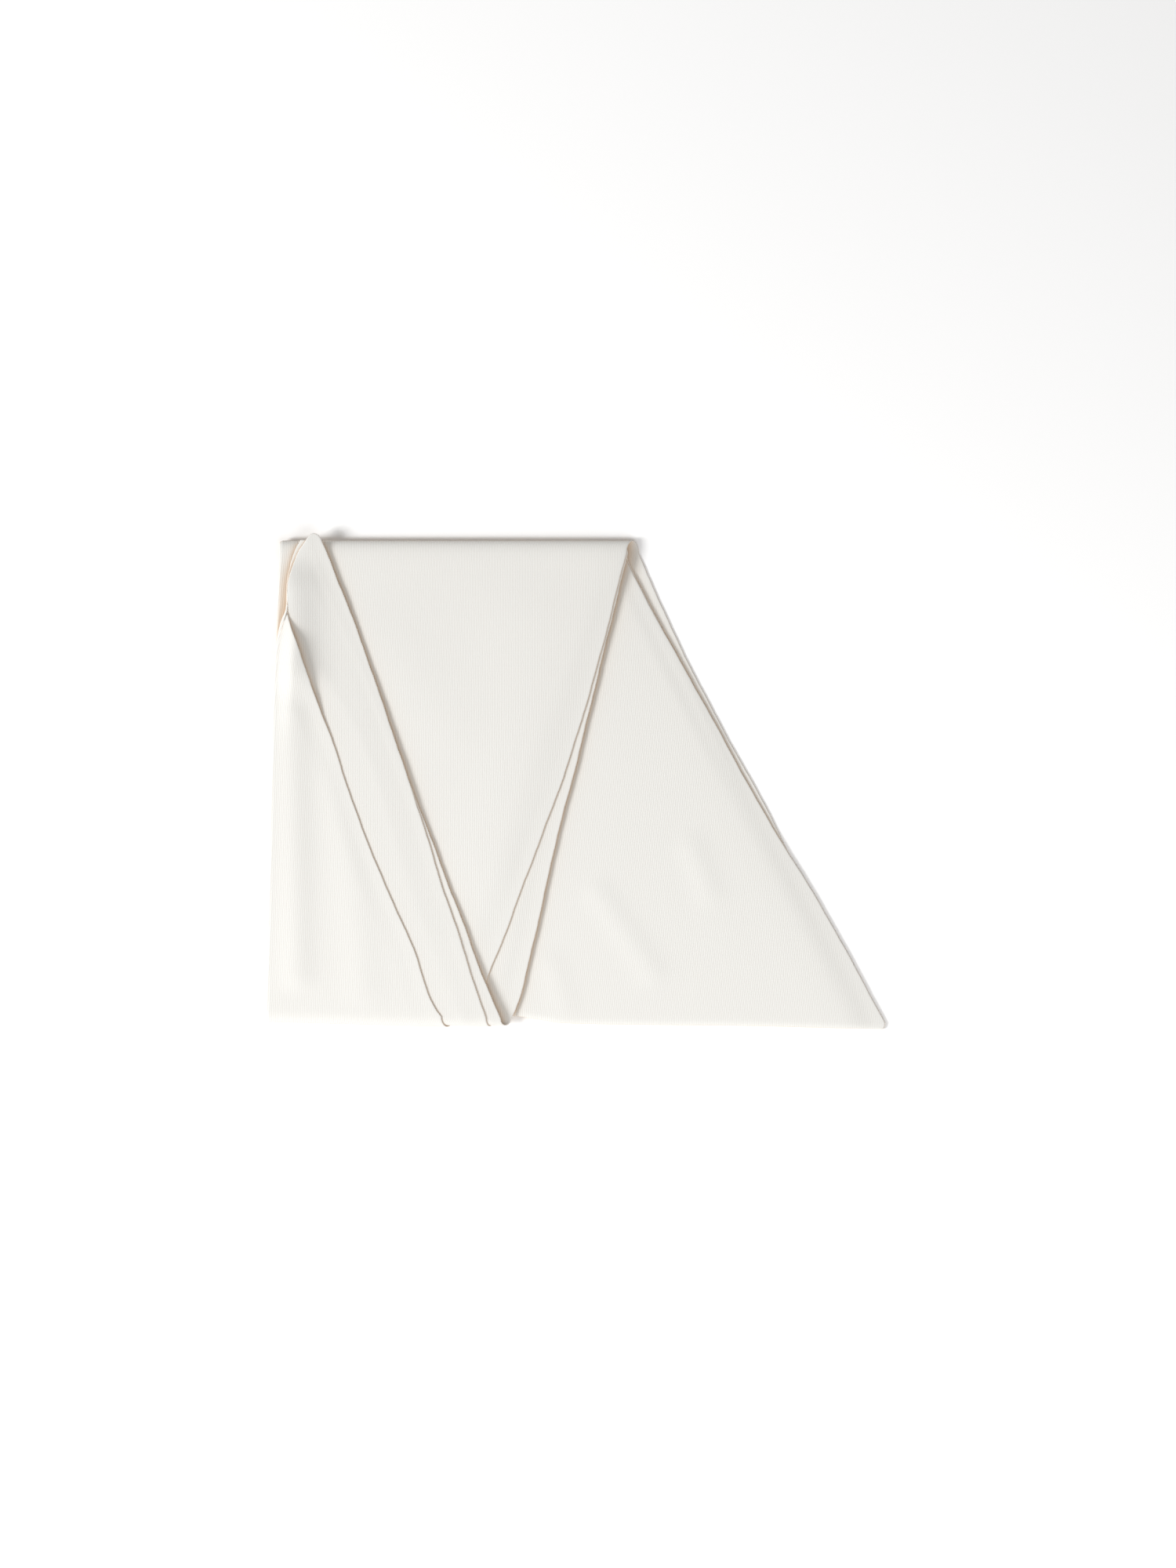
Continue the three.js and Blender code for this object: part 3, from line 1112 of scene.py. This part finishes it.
def thread_material():
    """Overlock thread: the cloth's own cream, finely twisted, with the same painted shade where
    cloth lies close over it.
    """
    n = Nodes("overlock_thread")
    place = n.add("ShaderNodeTexCoord")
    grain = n.noise(place.outputs["Object"], GRAIN_SCALE, 2.0)
    n.link(n.tucked(n.mix(grain, CREAM, FUZZ)), n.shader.inputs["Base Color"])
    n.relief(grain, 0.3, THREAD_RELIEF)
    return n.material_with(Roughness=0.9, Sheen_Weight=0.1)


# ---------------------------------------------------------------- the object

NODES = sorted(frame["nodes"])

# The pieces that bend at a hinge: the body above it, the body below it, and its height
HINGES = {
    "front": ("front_pass", "middle_pass", BOTTOM_SEAM),
    "middle": ("middle_pass", "back_pass", TOP_SEAM),
}


def nodes_of(part, kind):
    """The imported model's nodes of one pass: its plies and folds, or its hems."""
    found = [name for name in NODES if name.startswith(part)]
    return [name for name in found if ("hem" in name) == (kind == "hem")]


def run_lengths(points, axis):
    """Lengths of all the rows or all the columns of a sheet's points."""
    return np.linalg.norm(np.diff(points, axis=axis), axis=-1).sum(axis)


def flat_size(sheets):
    """Flat width, length and area of some strips, in metres."""
    across = max(float(run_lengths(s.points, 1).max()) for s in sheets)
    along = sum(float(run_lengths(s.points, 0).mean()) for s in sheets)
    area = sum(cell_area(s.points) for s in sheets)
    return across * MM, along * MM, area * MM * MM


def cell_area(points):
    """Area of all the cells of a grid of points."""
    across = points[:-1, 1:] - points[:-1, :-1]
    along = points[1:, :-1] - points[:-1, :-1]
    return float(np.linalg.norm(np.cross(across, along), axis=-1).sum())


def build_sling():
    """The three pieces of cloth and their overlock threads; the back pass's are tied to its body.
    """
    plies = make_plies()
    lay_plies(plies)
    sheets = {
        "front": [front_sheet(plies, pair) for pair in PAIRS],
        "middle": [middle_sheet(plies, pair) for pair in PAIRS],
        "back": [back_sheet(plies)],
    }
    knit, thread = knit_material(), thread_material()
    for part, strips in sheets.items():
        cloth = shells_object(f"{part}_cloth", strips)
        edging = thread_object(f"{part}_overlock", strips)
        cloth.data.materials.append(knit)
        edging.data.materials.append(thread)
        for obj, kind, slot in ((cloth, "ply", "cloth"), (edging, "hem", "hem")):
            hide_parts(*nodes_of(part, kind))
            if part in HINGES:
                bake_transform(obj)
            else:
                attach(obj, "back_pass")
        width, length, area = flat_size(strips)
        print("sheet", part, round(width, 3), round(length, 3), round(area, 4))
        area = min(area, width * length)


# ---------------------------------------------------------------- floor, light and camera

# The floor, just under the cloth, in metres
FLOOR_SIZE = 8
FLOOR_DROP = 0.0002
FLOOR_TONE = (0.97, 0.97, 0.97, 1)

# Each light's place and disk size in metres, and its power in watts
KEY_LIGHT = ((-2.1, -0.45, 1.3), 0.8, 59.0)
FILL_LIGHT = ((0.3, -0.72, 0.82), 1.2, 6.1)
SKY_TONE = (1.0, 0.992, 0.98, 1)
SKY_STRENGTH = 0.42

# The camera, in metres and in millimetres of lens and sensor
FRAME_HEIGHT = 0.84
LENS = 150
SENSOR = 36
VIEW_CENTRE = (0.0065, -0.0019)


def add_floor():
    """A wide pale floor without a shine."""
    bpy.ops.mesh.primitive_plane_add(size=FLOOR_SIZE, location=(0, 0, -FLOOR_DROP))
    floor = bpy.context.object
    floor.name = "floor"
    n = Nodes("pale_floor")
    n.shader.inputs["Base Color"].default_value = FLOOR_TONE
    floor.data.materials.append(n.material_with(Roughness=0.9, Specular_IOR_Level=0.0))


def add_area_light(name, place, size, power):
    """A white disk light that points at the middle of the bundle."""
    light = bpy.data.lights.new(name, "AREA")
    light.shape = "DISK"
    light.size = size
    light.energy = power
    obj = bpy.data.objects.new(name, light)
    obj.location = place
    obj.rotation_euler = (-Vector(place)).to_track_quat("-Z", "Y").to_euler()
    bpy.context.scene.collection.objects.link(obj)


def add_light():
    """A low key light from the left, a weak fill from the front, and a pale sky."""
    add_area_light("key", *KEY_LIGHT)
    add_area_light("fill", *FILL_LIGHT)
    world = bpy.data.worlds.new("studio")
    world.use_nodes = True
    sky = world.node_tree.nodes["Background"]
    sky.inputs["Color"].default_value = SKY_TONE
    sky.inputs["Strength"].default_value = SKY_STRENGTH
    bpy.context.scene.world = world
    bpy.context.scene.view_settings.view_transform = "Standard"


def add_camera():
    """Straight down from above, with a long lens."""
    camera = bpy.data.cameras.new("camera")
    camera.lens = LENS
    camera.sensor_width = SENSOR
    obj = bpy.data.objects.new("camera", camera)
    obj.location = (*VIEW_CENTRE, FRAME_HEIGHT / SENSOR * LENS + HIGH.z / 2)
    bpy.context.scene.collection.objects.link(obj)
    bpy.context.scene.camera = obj


build_sling()
add_floor()
add_light()
add_camera()
